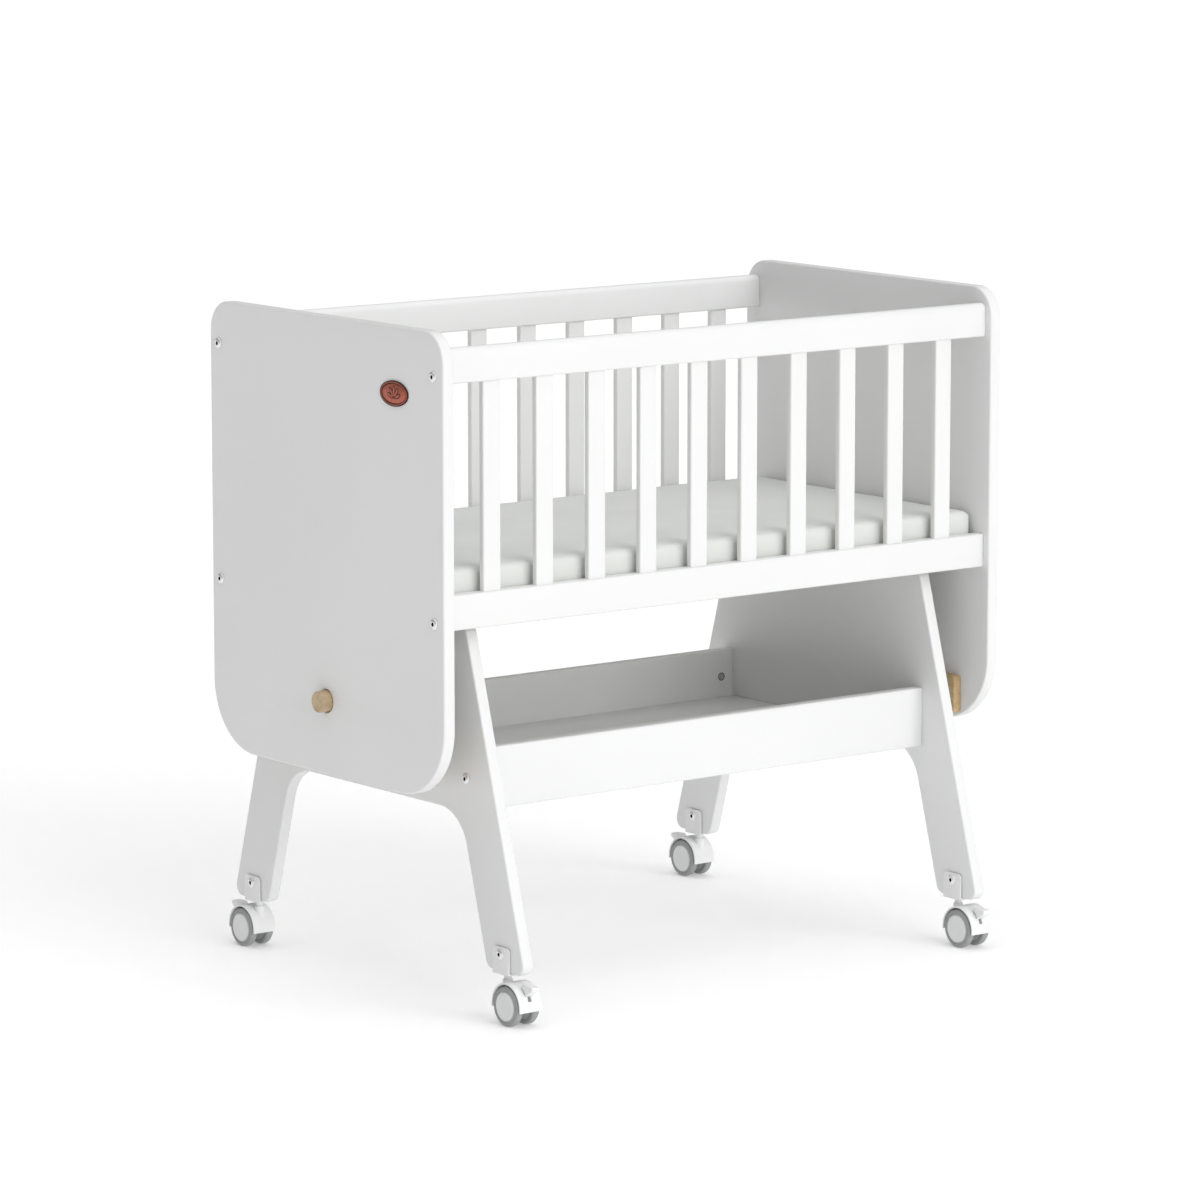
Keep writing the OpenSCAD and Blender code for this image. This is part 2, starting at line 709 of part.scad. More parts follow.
castor_axle(-1, 1);  // rear_left_castor_axle
brake_pedal(-1, 1);  // rear_left_brake_pedal
castor_wheel(-1, 1, -1);  // rear_left_castor_left_wheel
castor_wheel(-1, 1, 1);  // rear_left_castor_right_wheel
castor_hood(1, 1);  // rear_right_castor_hood
castor_axle(1, 1);  // rear_right_castor_axle
brake_pedal(1, 1);  // rear_right_brake_pedal
castor_wheel(1, 1, -1);  // rear_right_castor_left_wheel
castor_wheel(1, 1, 1);  // rear_right_castor_right_wheel
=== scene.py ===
import math

import bmesh
import bpy
from mathutils import Matrix, Vector, noise
from mathutils.geometry import tessellate_polygon


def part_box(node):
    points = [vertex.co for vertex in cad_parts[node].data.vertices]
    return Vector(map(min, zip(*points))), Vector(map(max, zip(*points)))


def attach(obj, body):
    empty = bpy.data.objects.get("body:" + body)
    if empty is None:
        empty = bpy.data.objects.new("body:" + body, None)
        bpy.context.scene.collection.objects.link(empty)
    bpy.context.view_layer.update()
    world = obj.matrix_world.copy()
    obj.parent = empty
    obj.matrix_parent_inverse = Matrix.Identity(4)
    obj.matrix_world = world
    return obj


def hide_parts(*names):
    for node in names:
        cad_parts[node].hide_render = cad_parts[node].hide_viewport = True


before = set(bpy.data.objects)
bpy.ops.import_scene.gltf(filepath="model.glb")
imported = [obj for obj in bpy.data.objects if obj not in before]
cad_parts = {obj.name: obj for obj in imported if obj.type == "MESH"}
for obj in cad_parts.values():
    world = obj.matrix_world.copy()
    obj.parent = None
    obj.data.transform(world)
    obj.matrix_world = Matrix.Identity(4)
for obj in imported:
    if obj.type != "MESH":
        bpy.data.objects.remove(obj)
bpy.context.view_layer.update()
MM = 0.001

# ---------------------------------------------------------------------------
# Camera: level photograph taken from the front left, a little above the crib
# ---------------------------------------------------------------------------

cam_data = bpy.data.cameras.new("camera")
cam = bpy.data.objects.new("camera", cam_data)
bpy.context.collection.objects.link(cam)
bpy.context.scene.camera = cam
yaw, pitch = math.radians(37.611), math.radians(8.996)
look = Vector((math.sin(yaw) * math.cos(pitch), math.cos(yaw) * math.cos(pitch), -math.sin(pitch)))
cam.location = (-4.43325, -5.73454, 1.60390)
cam.rotation_mode = "QUATERNION"
cam.rotation_quaternion = look.to_track_quat("-Z", "Y")
cam_data.sensor_width = 36.0
cam_data.lens = 170.17
cam_data.clip_end = 400.0


# ---------------------------------------------------------------------------
# Mesh builders (metres)
# ---------------------------------------------------------------------------

def link_mesh(name, bm, smooth=True):
    bmesh.ops.recalc_face_normals(bm, faces=bm.faces)
    me = bpy.data.meshes.new(name)
    bm.to_mesh(me)
    bm.free()
    if smooth:
        me.shade_smooth()
        me.set_sharp_from_angle(angle=math.radians(32))
    ob = bpy.data.objects.new(name, me)
    bpy.context.collection.objects.link(ob)
    return ob


def arc(cx, cy, r, a0, a1, n):
    return [(cx + r * math.cos(math.radians(a0 + (a1 - a0) * i / n)),
             cy + r * math.sin(math.radians(a0 + (a1 - a0) * i / n))) for i in range(n + 1)]


def round_rect(x0, x1, y0, y1, low, high, n=10):
    """Rectangle with one radius at its lower corners and one at its upper corners."""
    return (arc(x0 + low, y0 + low, low, 180, 270, n) + arc(x1 - low, y0 + low, low, 270, 360, n)
            + arc(x1 - high, y1 - high, high, 0, 90, n) + arc(x0 + high, y1 - high, high, 90, 180, n))


def circle(cx, cy, r, n=48):
    return [(cx + r * math.cos(2 * math.pi * i / n), cy + r * math.sin(2 * math.pi * i / n)) for i in range(n)]


def ellipse(cx, cy, rx, ry, n=96):
    return [(cx + rx * math.cos(2 * math.pi * i / n), cy + ry * math.sin(2 * math.pi * i / n)) for i in range(n)]


def rounded(points, radii, n=10):
    """Rounds each corner of a polygon with its own radius."""
    out = []
    for i, p in enumerate(points):
        p = Vector(p)
        a, b, r = Vector(points[i - 1]), Vector(points[(i + 1) % len(points)]), radii[i]
        if r <= 0:
            out.append((p.x, p.y))
            continue
        u, v = (a - p).normalized(), (b - p).normalized()
        half = u.angle(v) / 2
        centre = p + (u + v).normalized() * (r / math.sin(half))
        s, e = p + u * (r / math.tan(half)), p + v * (r / math.tan(half))
        a0 = math.atan2(s.y - centre.y, s.x - centre.x)
        turn = math.atan2(e.y - centre.y, e.x - centre.x) - a0
        turn = (turn + math.pi) % (2 * math.pi) - math.pi
        out += [(centre.x + r * math.cos(a0 + turn * k / n), centre.y + r * math.sin(a0 + turn * k / n))
                for k in range(n + 1)]
    return out


def area2(loop):
    return sum(loop[i - 1][0] * loop[i][1] - loop[i][0] * loop[i - 1][1] for i in range(len(loop)))


def inset_loop(loop, d, inward):
    """Moves a loop by d across its own direction; inward is +1 for an outline and -1 for a hole."""
    if d == 0:
        return list(loop)
    sign = (1 if area2(loop) > 0 else -1) * inward
    out, n = [], len(loop)
    for i in range(n):
        p, a, b = Vector(loop[i]), Vector(loop[i - 1]), Vector(loop[(i + 1) % n])
        e0, e1 = (p - a).normalized(), (b - p).normalized()
        n0, n1 = Vector((-e0.y, e0.x)), Vector((-e1.y, e1.x))
        m = n0 + n1
        m = m / max(m.dot(n0), 0.35)
        q = p + m * d * sign
        out.append((q.x, q.y))
    return out


AXES = {"x": lambda u, v, w: (w, u, v), "y": lambda u, v, w: (u, w, v), "z": lambda u, v, w: (u, v, w)}


def board(name, axis, w0, w1, outline, holes=(), edge=1.5 * MM, steps=4, bm=None):
    """A flat board of thickness w0..w1 along axis, with rounded edges along its outline and holes."""
    own = bm is None
    bm = bmesh.new() if own else bm
    put = AXES[axis]
    levels = [(edge * (1 - math.sin(math.radians(90 * k / steps))),
               w0 + edge * (1 - math.cos(math.radians(90 * k / steps)))) for k in range(steps + 1)]
    levels += [(d, w0 + w1 - w) for d, w in reversed(levels)]
    rings = []
    for j, loop in enumerate([outline] + list(holes)):
        rings.append([[bm.verts.new(put(p[0], p[1], w)) for p in inset_loop(loop, d, 1 if j == 0 else -1)]
                      for d, w in levels])
    for ring in rings:
        for lo, hi in zip(ring, ring[1:]):
            n = len(lo)
            for i in range(n):
                bm.faces.new((lo[i - 1], lo[i], hi[i], hi[i - 1]))
    for end in (0, -1):
        flat = [v for ring in rings for v in ring[end]]
        loops2 = [[Vector(tuple(v.co[k] for k in {"x": (1, 2), "y": (0, 2), "z": (0, 1)}[axis]) + (0,))
                   for v in ring[end]] for ring in rings]
        for tri in tessellate_polygon(loops2):
            try:
                bm.faces.new([flat[i] for i in tri])
            except ValueError:
                pass
    return link_mesh(name, bm) if own else bm


def lathe(name, profile, place, segments=64, hexagon=(), bm=None):
    """Revolves (radius, height) points about +Z, then moves them with place. Rings listed in
    hexagon are six-sided, with the radius as the half width across the flats."""
    own = bm is None
    bm = bmesh.new() if own else bm
    rings = []
    for k, (r, h) in enumerate(profile):
        if r <= 1e-7:
            rings.append([bm.verts.new(place @ Vector((0, 0, h)))])
            continue
        ring = []
        for i in range(segments):
            a = 2 * math.pi * i / segments
            rr = r / math.cos((a % (math.pi / 3)) - math.pi / 6) if k in hexagon else r
            ring.append(bm.verts.new(place @ Vector((rr * math.cos(a), rr * math.sin(a), h))))
        rings.append(ring)
    for lo, hi in zip(rings, rings[1:]):
        for i in range(segments):
            a, b = lo[i - 1] if len(lo) > 1 else lo[0], lo[i % len(lo)]
            c, d = hi[i % len(hi)], hi[i - 1] if len(hi) > 1 else hi[0]
            face = []
            for v in (a, b, c, d):
                if v not in face:
                    face.append(v)
            if len(face) > 2:
                bm.faces.new(face)
    return link_mesh(name, bm) if own else bm


def along(x, y, z, direction):
    """Matrix that takes +Z to direction and the origin to (x, y, z)."""
    return Matrix.Translation((x, y, z)) @ Vector(direction).to_track_quat("Z", "Y").to_matrix().to_4x4()


# ---------------------------------------------------------------------------
# Materials
# ---------------------------------------------------------------------------

def new_material(name):
    m = bpy.data.materials.new(name)
    m.use_nodes = True
    nt = m.node_tree
    return m, nt, nt.nodes["Principled BSDF"]


def node(nt, kind, **values):
    n = nt.nodes.new(kind)
    for key, value in values.items():
        if hasattr(n, key):
            setattr(n, key, value)
        else:
            n.inputs[key].default_value = value
    return n


def ramp(nt, fac, low, high, p0=0.0, p1=1.0):
    r = nt.nodes.new("ShaderNodeValToRGB")
    r.color_ramp.elements[0].position, r.color_ramp.elements[0].color = p0, (*low, 1)
    r.color_ramp.elements[1].position, r.color_ramp.elements[1].color = p1, (*high, 1)
    nt.links.new(fac, r.inputs["Fac"])
    return r.outputs["Color"]


def coordinates(nt, scale=(1, 1, 1)):
    tc = node(nt, "ShaderNodeTexCoord")
    mp = node(nt, "ShaderNodeMapping")
    mp.inputs["Scale"].default_value = scale
    nt.links.new(tc.outputs["Object"], mp.inputs["Vector"])
    return mp.outputs["Vector"]


def noise_tex(nt, vector, scale, detail=4.0, roughness=0.5):
    t = node(nt, "ShaderNodeTexNoise")
    t.inputs["Scale"].default_value = scale
    t.inputs["Detail"].default_value = detail
    t.inputs["Roughness"].default_value = roughness
    nt.links.new(vector, t.inputs["Vector"])
    return t.outputs["Fac"]


def bump(nt, bsdf, height, strength, distance):
    b = node(nt, "ShaderNodeBump")
    b.inputs["Strength"].default_value = strength
    b.inputs["Distance"].default_value = distance
    nt.links.new(height, b.inputs["Height"])
    nt.links.new(b.outputs["Normal"], bsdf.inputs["Normal"])
    return b


def rough_from(nt, bsdf, fac, low, high):
    mr = node(nt, "ShaderNodeMapRange")
    mr.inputs["To Min"].default_value = low
    mr.inputs["To Max"].default_value = high
    nt.links.new(fac, mr.inputs["Value"])
    nt.links.new(mr.outputs["Result"], bsdf.inputs["Roughness"])


def lacquer(name, colour=(0.785, 0.79, 0.785)):
    """Satin white lacquer sprayed on wood: faint mottling, orange peel and a uneven sheen."""
    m, nt, b = new_material(name)
    v = coordinates(nt)
    cloudy = noise_tex(nt, v, 5.0, 5.0)
    low = tuple(c * 0.975 for c in colour)
    nt.links.new(ramp(nt, cloudy, low, colour, 0.3, 0.7), b.inputs["Base Color"])
    rough_from(nt, b, noise_tex(nt, v, 28.0, 3.0), 0.36, 0.5)
    peel = noise_tex(nt, v, 900.0, 2.0)
    bump(nt, b, peel, 0.12, 0.00012)
    b.inputs["IOR"].default_value = 1.46
    b.inputs["Specular IOR Level"].default_value = 0.4
    return m


def beech(name, axis, light=(0.57, 0.445, 0.29), dark=(0.44, 0.31, 0.18)):
    """Clear-coated beech: long grain streaks along axis with short darker flecks."""
    m, nt, b = new_material(name)
    stretch = tuple(2.5 if i == "xyz".index(axis) else 60.0 for i in range(3))
    v = coordinates(nt, stretch)
    streak = noise_tex(nt, v, 1.6, 6.0, 0.6)
    colour = ramp(nt, streak, dark, light, 0.32, 0.62)
    fleck_v = coordinates(nt, tuple(90.0 if i == "xyz".index(axis) else 600.0 for i in range(3)))
    fleck = noise_tex(nt, fleck_v, 1.0, 2.0)
    mix = node(nt, "ShaderNodeMix", data_type="RGBA")
    mix.blend_type = "MULTIPLY"
    mix.inputs["Factor"].default_value = 0.35
    nt.links.new(colour, mix.inputs[6])
    nt.links.new(ramp(nt, fleck, (0.55, 0.42, 0.3), (1, 1, 1), 0.33, 0.5), mix.inputs[7])
    nt.links.new(mix.outputs[2], b.inputs["Base Color"])
    rough_from(nt, b, streak, 0.42, 0.56)
    bump(nt, b, fleck, 0.25, 0.0002)
    return m


def plywood(name):
    m, nt, b = new_material(name)
    v = coordinates(nt, (3, 60, 60))
    g = noise_tex(nt, v, 1.4, 6.0, 0.6)
    nt.links.new(ramp(nt, g, (0.68, 0.66, 0.62), (0.78, 0.765, 0.73), 0.3, 0.7), b.inputs["Base Color"])
    rough_from(nt, b, g, 0.55, 0.7)
    bump(nt, b, g, 0.3, 0.0003)
    return m


def cotton(name, colour=(0.73, 0.74, 0.715)):
    """Woven cotton cover: fine crossing threads over soft cloudiness, with a little sheen."""
    m, nt, b = new_material(name)
    v = coordinates(nt)
    cloudy = noise_tex(nt, v, 9.0, 5.0)
    low = tuple(c * 0.95 for c in colour)
    base = ramp(nt, cloudy, low, colour, 0.3, 0.7)
    tc = node(nt, "ShaderNodeTexCoord")
    waves = []
    for direction in ("X", "Y"):
        w = node(nt, "ShaderNodeTexWave", wave_type="BANDS", bands_direction=direction)
        w.inputs["Scale"].default_value = 320.0
        w.inputs["Distortion"].default_value = 0.6
        w.inputs["Detail"].default_value = 1.0
        nt.links.new(tc.outputs["Object"], w.inputs["Vector"])
        waves.append(w.outputs["Fac"])
    weave = node(nt, "ShaderNodeMath", operation="MULTIPLY")
    nt.links.new(waves[0], weave.inputs[0])
    nt.links.new(waves[1], weave.inputs[1])
    mix = node(nt, "ShaderNodeMix", data_type="RGBA")
    mix.blend_type = "MULTIPLY"
    mix.inputs["Factor"].default_value = 0.10
    nt.links.new(base, mix.inputs[6])
    nt.links.new(ramp(nt, weave.outputs[0], (0.6, 0.6, 0.6), (1, 1, 1)), mix.inputs[7])
    nt.links.new(mix.outputs[2], b.inputs["Base Color"])
    b.inputs["Roughness"].default_value = 0.9
    b.inputs["Sheen Weight"].default_value = 0.12
    b.inputs["Sheen Roughness"].default_value = 0.5
    add = node(nt, "ShaderNodeMath", operation="ADD")
    nt.links.new(weave.outputs[0], add.inputs[0])
    nt.links.new(noise_tex(nt, v, 160.0, 3.0), add.inputs[1])
    bump(nt, b, add.outputs[0], 0.3, 0.0003)
    return m


def metal(name, colour, rough=(0.24, 0.38)):
    """Bright zinc plate with faint cloudiness."""
    m, nt, b = new_material(name)
    v = coordinates(nt)
    n = noise_tex(nt, v, 220.0, 4.0)
    low = tuple(c * 0.86 for c in colour)
    nt.links.new(ramp(nt, n, low, colour, 0.3, 0.7), b.inputs["Base Color"])
    b.inputs["Metallic"].default_value = 0.7
    rough_from(nt, b, n, *rough)
    bump(nt, b, noise_tex(nt, v, 1200.0, 2.0), 0.08, 0.00005)
    return m


def plastic(name, colour, rough=(0.38, 0.52), grain=1400.0, depth=0.00008):
    """Fine-grained injection moulding."""
    m, nt, b = new_material(name)
    v = coordinates(nt)
    n = noise_tex(nt, v, 40.0, 4.0)
    low = tuple(c * 0.95 for c in colour)
    nt.links.new(ramp(nt, n, low, colour, 0.3, 0.7), b.inputs["Base Color"])
    rough_from(nt, b, n, *rough)
    bump(nt, b, noise_tex(nt, v, grain, 2.0), 0.2, depth)
    return m


def copper(name, dark, light):
    """Antique copper with cloudy patina."""
    m, nt, b = new_material(name)
    n = noise_tex(nt, coordinates(nt), 350.0, 5.0)
    nt.links.new(ramp(nt, n, dark, light, 0.3, 0.65), b.inputs["Base Color"])
    b.inputs["Metallic"].default_value = 0.75
    rough_from(nt, b, n, 0.34, 0.5)
    bump(nt, b, n, 0.2, 0.0001)
    return m


LACQUER = lacquer("white_lacquer")
STAND_LACQUER = lacquer("stand_lacquer", (0.787, 0.793, 0.789))
BEECH = beech("beech_along_x", "x")
BLOCK = beech("beech_block", "y", (0.57, 0.42, 0.235), (0.45, 0.305, 0.15))
PLY = plywood("birch_plywood")
COTTON = cotton("mattress_cotton")
ZINC = metal("zinc", (0.90, 0.90, 0.90))
NUT = metal("barrel_nut_zinc", (0.42, 0.43, 0.44), (0.3, 0.45))
# near-black painted shade, used inside the bolt sockets and as a ring round each barrel nut in its bore
PAINTED_SHADE = metal("socket_shadow", (0.05, 0.05, 0.05), (0.4, 0.6))
COPPER = copper("copper", (0.34, 0.085, 0.055), (0.50, 0.15, 0.10))
DARK_COPPER = copper("copper_hollows", (0.028, 0.016, 0.013), (0.06, 0.028, 0.02))
WHITE_STEEL = plastic("white_powder_coat", (0.84, 0.845, 0.84), (0.4, 0.5), 1000.0, 0.0001)
WHITE_PLASTIC = plastic("white_moulding", (0.84, 0.845, 0.84))
HUB = plastic("hub_plastic", (0.79, 0.80, 0.795))
TYRE = plastic("tyre_rubber", (0.33, 0.335, 0.335), (0.55, 0.7), 900.0, 0.0001)
RIM = plastic("rim_plastic", (0.5, 0.505, 0.5))
FLOOR = plastic("floor_paper", (0.92, 0.92, 0.92), (0.85, 0.95), 60.0, 0.0001)


def finish(ob, material, body, replaces=()):
    ob.data.materials.clear()
    ob.data.materials.append(material)
    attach(ob, body)
    if replaces:
        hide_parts(*replaces)
    return ob


def repaint(node_name, material):
    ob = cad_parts[node_name]
    for s in ob.material_slots:
        s.material = material
    return ob


# ---------------------------------------------------------------------------
# Cradle: end panels, rails, slats
# ---------------------------------------------------------------------------

PANEL_TOP_R, PANEL_LOW_R, PANEL_EDGE = 38 * MM, 90 * MM, 2.6 * MM
LOCK_Z = (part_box("left_lock_knob")[0].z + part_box("left_lock_knob")[1].z) / 2
HOLE_R = 14.5 * MM
SHANK_R = 3 * MM


def bolt_places(group):
    """Centres of the separate bolts of a CAD group, told apart by their loose parts."""
    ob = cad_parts[group]
    bm = bmesh.new()
    bm.from_mesh(ob.data)
    bmesh.ops.remove_doubles(bm, verts=bm.verts, dist=1e-6)
    seen, out = set(), []
    for start in bm.verts:
        if start.index in seen:
            continue
        stack, part = [start], []
        seen.add(start.index)
        while stack:
            v = stack.pop()
            part.append(v.co.copy())
            for e in v.link_edges:
                o = e.other_vert(v)
                if o.index not in seen:
                    seen.add(o.index)
                    stack.append(o)
        lo = Vector([min(c[i] for c in part) for i in range(3)])
        hi = Vector([max(c[i] for c in part) for i in range(3)])
        out.append((lo, hi))
    bm.free()
    return out


for side, name in ((-1, "left_end_panel"), (1, "right_end_panel")):
    lo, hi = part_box(name)
    outline = round_rect(lo.y, hi.y, lo.z, hi.z, PANEL_LOW_R, PANEL_TOP_R, 20)
    panel = board(name + "_rounded", "x", lo.x, hi.x, outline, [circle(0, LOCK_Z, HOLE_R, 64)], PANEL_EDGE, 5)
    finish(panel, LACQUER, "cradle", [name])

for name in ("front_top_rail", "back_top_rail", "front_bottom_rail", "back_bottom_rail"):
    lo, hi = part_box(name)
    high = 8 * MM if "top" in name else 2.5 * MM
    profile = round_rect(lo.y, hi.y, lo.z, hi.z, 2.5 * MM, high, 8)
    rail = board(name + "_rounded", "x", lo.x + 0.15 * MM, hi.x - 0.15 * MM, profile, (), 0.5 * MM, 2)
    finish(rail, LACQUER, "cradle", [name])

for group in ("front_slats", "back_slats"):
    for i, (lo, hi) in enumerate(sorted(bolt_places(group), key=lambda b: b[0].x)):
        outline = round_rect(lo.x, hi.x, lo.y, hi.y, 2.0 * MM, 2.0 * MM, 5)
        slat = board("%s_slat_%d" % (group.split("_")[0], i + 1), "z", lo.z, hi.z, outline, (), 0.3 * MM, 1)
        finish(slat, LACQUER, "cradle", [group])


# ---------------------------------------------------------------------------
# Stand: frames, tray boards, tray floor
# ---------------------------------------------------------------------------

def frame_outline(lo, hi):
    """Outline of a stand frame in (Y, Z): splayed legs under a flat top, with an arch between."""
    half, slope, leg = 249.2 * MM, 0.2872, 78.5 * MM
    width = lambda z: half + slope * (0.300 - z)
    arch_z = 252.3 * MM
    right = [(width(hi.z), hi.z), (width(lo.z), lo.z), (width(lo.z) - leg, lo.z), (width(arch_z) - leg, arch_z)]
    radii = [10 * MM, 13 * MM, 13 * MM, 58 * MM]
    points = right + [(-y, z) for y, z in reversed(right)]
    return rounded(points, radii + radii[::-1], 16)


for name in ("left_stand_frame", "right_stand_frame"):
    lo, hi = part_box(name)
    piece = board(name + "_rounded", "x", lo.x, hi.x, frame_outline(lo, hi), (), 2.2 * MM, 4)
    finish(piece, STAND_LACQUER, "stand", [name])

for name in ("front_tray_board", "back_tray_board"):
    lo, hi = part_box(name)
    profile = round_rect(lo.y, hi.y, lo.z, hi.z, 2.5 * MM, 2.5 * MM, 6)
    piece = board(name + "_rounded", "x", lo.x + 0.15 * MM, hi.x - 0.15 * MM, profile, (), 0.5 * MM, 2)
    finish(piece, STAND_LACQUER, "stand", [name])

lo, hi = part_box("tray_floor")
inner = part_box("front_tray_board")[1].y
piece = board("tray_floor_panel", "z", lo.z, hi.z, round_rect(lo.x, hi.x, inner, -inner, 0.6 * MM, 0.6 * MM, 2), (),
              1.5 * MM, 4)
finish(piece, STAND_LACQUER, "stand", ["tray_floor"])


# ---------------------------------------------------------------------------
# Bolts and barrel nuts
# ---------------------------------------------------------------------------

def bolt(name, place, body, group, shank, head_r=6.7 * MM, height=3.6 * MM):
    """Domed head with a rolled rim and a hexagon socket, on its shank; +Z of place points out of the board."""
    dome = [(head_r * math.sin(t), height * (0.28 + 0.72 * math.cos(t))) for t in
            [math.radians(90 - 7.5 * k) for k in range(9)]]
    profile = [(0, -shank), (SHANK_R - 0.5 * MM, -shank), (SHANK_R, 0.5 * MM - shank), (SHANK_R, 0.0),
               (head_r * 0.93, 0.0), (head_r, 0.28 * height * 0.5)] + dome
    lip = dome[-1][1]
    socket = 2.35 * MM
    n = len(profile)
    profile += [(socket * 1.22, lip + 0.03 * MM), (socket * 1.04, lip - 0.1 * MM), (socket, lip - 0.3 * MM)]
    head = lathe(name, profile, place, 60, hexagon=(n + 1, n + 2))
    finish(head, ZINC, body, [group])
    # the socket hole is painted near-black: painted shade in the recess
    depth = lip - 2.6 * MM
    hole = lathe(name + "_socket", [(socket, lip - 0.3 * MM), (socket, depth), (0, depth - 0.4 * MM)], place, 60,
                 hexagon=(0, 1))
    return finish(hole, PAINTED_SHADE, body, [group])


def bolts(group, body, prefix):
    for i, (lo, hi) in enumerate(bolt_places(group)):
        mid = (lo + hi) / 2
        out = -1 if group == "castor_bolts" or mid.x < 0 else 1
        seat = lo.x + 3.6 * MM if out < 0 else hi.x - 3.6 * MM
        bolt("%s_%d" % (prefix, i + 1), along(seat, mid.y, mid.z, (out, 0, 0)), body, group, hi.x - lo.x - 3.6 * MM)


bolts("panel_bolts", "cradle", "panel_bolt")
bolts("stand_bolts", "stand", "stand_bolt")
bolts("castor_bolts", "stand", "castor_bolt")


def nut(name, place, body, group, length):
    """Barrel nut flush in the inner face of its board: slotted end in a bore painted near-black as painted shade."""
    end = [(0, -length), (4.6 * MM, -length), (4.6 * MM, 0.05 * MM), (4.2 * MM, 0.3 * MM), (2.6 * MM, 0.3 * MM),
           (2.4 * MM, 0.1 * MM), (0, 0.1 * MM)]
    finish(lathe(name, end, place, 40), NUT, body, [group])
    # dark disc behind the nut: painted shade that shows as a ring round it in the bore
    bore = [(0, -0.4 * MM), (5.6 * MM, -0.4 * MM), (5.6 * MM, 0.1 * MM), (4.5 * MM, 0.04 * MM), (0, 0.04 * MM)]
    finish(lathe(name + "_bore", bore, place, 40), PAINTED_SHADE, body, [group])


tray_faces = {-1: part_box("front_tray_board")[1].y, 1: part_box("back_tray_board")[0].y}
for i, (lo, hi) in enumerate(bolt_places("tray_barrel_nuts")):
    mid = (lo + hi) / 2
    row = 1 if mid.y > 0 else -1
    nut("tray_barrel_nut_%d" % (i + 1), along(mid.x, tray_faces[row], mid.z, (0, -row, 0)), "stand",
        "tray_barrel_nuts", hi.y - lo.y)
for name in ("rail_barrel_nuts", "lower_link_pivots", "upper_link_pivots", "front_left_link", "front_right_link",
             "rear_left_link", "rear_right_link"):
    repaint(name, ZINC)


# ---------------------------------------------------------------------------
# Bed base, cleats, pivot blocks, lock knobs
# ---------------------------------------------------------------------------

repaint("bed_base", PLY)
for name in ("front_base_cleat", "back_base_cleat"):
    repaint(name, LACQUER)
for name in ("left_lock_guide", "right_lock_guide"):
    repaint(name, BEECH)

for name in ("left_pivot_blocks", "right_pivot_blocks"):
    for i, (lo, hi) in enumerate(bolt_places(name)):
        outline = round_rect(lo.y, hi.y, lo.z, hi.z, 6 * MM, 6 * MM, 8)
        piece = board("%s_%d" % (name, i + 1), "x", lo.x, hi.x, outline, (), 2.5 * MM, 4)
        finish(piece, BLOCK, "cradle", [name])

for side, name in ((-1, "left_lock_knob"), (1, "right_lock_knob")):
    lo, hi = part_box(name)
    outer = lo.x if side < 0 else hi.x
    length = hi.x - lo.x
    r, e = 13.5 * MM, 1.8 * MM
    profile = [(0, length - 1.0 * MM), (r * 0.6, length - 0.8 * MM), (r - e - 0.8 * MM, length - 0.1 * MM)]
    profile += [(r - e + e * math.sin(math.radians(15 * k)), length - e + e * math.cos(math.radians(15 * k)))
                for k in range(7)]
    profile += [(r, length * 0.5), (r, 0), (0, 0)]
    knob = lathe(name + "_turned", profile, along(outer - side * length, 0, LOCK_Z, (side, 0, 0)), 72)
    finish(knob, BEECH, name.replace("_knob", ""), [name])


# ---------------------------------------------------------------------------
# Badge: oval copper plate with a raised rim and a plain leaf pattern
# ---------------------------------------------------------------------------

lo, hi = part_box("badge")
by, bz = (lo.y + hi.y) / 2, (lo.z + hi.z) / 2
rx, rz = (hi.y - lo.y) / 2, (hi.z - lo.z) / 2
face = lo.x
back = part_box("left_end_panel")[0].x


def oval(smaller):
    return ellipse(by, bz, rx - smaller * MM, rz - smaller * MM)


def leaf_outline(tilt, length, width, grow):
    """Pointed oval that starts below the middle of the badge and leans by tilt."""
    d = Vector((math.sin(tilt), math.cos(tilt)))
    s = Vector((d.y, -d.x))
    root = Vector((by, bz - 6.2 * MM)) + d * (2.6 * MM - grow)
    points = []
    for j in range(24):
        t = 2 * math.pi * j / 24
        p = root + d * ((length + 2 * grow) * (0.5 - 0.5 * math.cos(t))) + s * ((width + grow) * math.sin(t))
        points.append((p.x, p.y))
    return points


dark, bright = bmesh.new(), bmesh.new()
board("", "x", face + 0.9 * MM, back, oval(0), (), 0.3 * MM, 2, dark)
board("", "x", face + 0.1 * MM, face + 1.2 * MM, oval(0), [oval(1.5)], 0.3 * MM, 2, dark)
board("", "x", face, face + 1.2 * MM, oval(1.4), [oval(2.8)], 0.45 * MM, 3, bright)
board("", "x", face + 0.7 * MM, face + 1.2 * MM, oval(4.2), (), 0.2 * MM, 2, bright)
for k in range(-2, 3):
    tilt, length = math.radians(33 * k), (12.5 - 0.4 * k * k) * MM
    board("", "x", face + 0.55 * MM, face + 1.2 * MM, leaf_outline(tilt, length, 1.6 * MM, 1.4 * MM), (), 0.1 * MM, 1, dark)
    board("", "x", face + 0.3 * MM, face + 1.2 * MM, leaf_outline(tilt, length, 1.6 * MM, 0), (), 0.3 * MM, 2, bright)
finish(link_mesh("badge_plate", bright), COPPER, "cradle", ["badge"])
finish(link_mesh("badge_hollows", dark), DARK_COPPER, "cradle", ["badge"])


# ---------------------------------------------------------------------------
# Castors
# ---------------------------------------------------------------------------

WHEEL_R, TRAIL = 25 * MM, 17.5 * MM


def hood_section(x0, x1, inner, outer, r, n=4):
    """Closed outline across the hood: x0..x1 wide, inner..outer radius, rounded at its four corners."""
    return rounded([(x0, inner), (x1, inner), (x1, outer), (x0, outer)], [r * 0.6, r * 0.6, r, r], n)


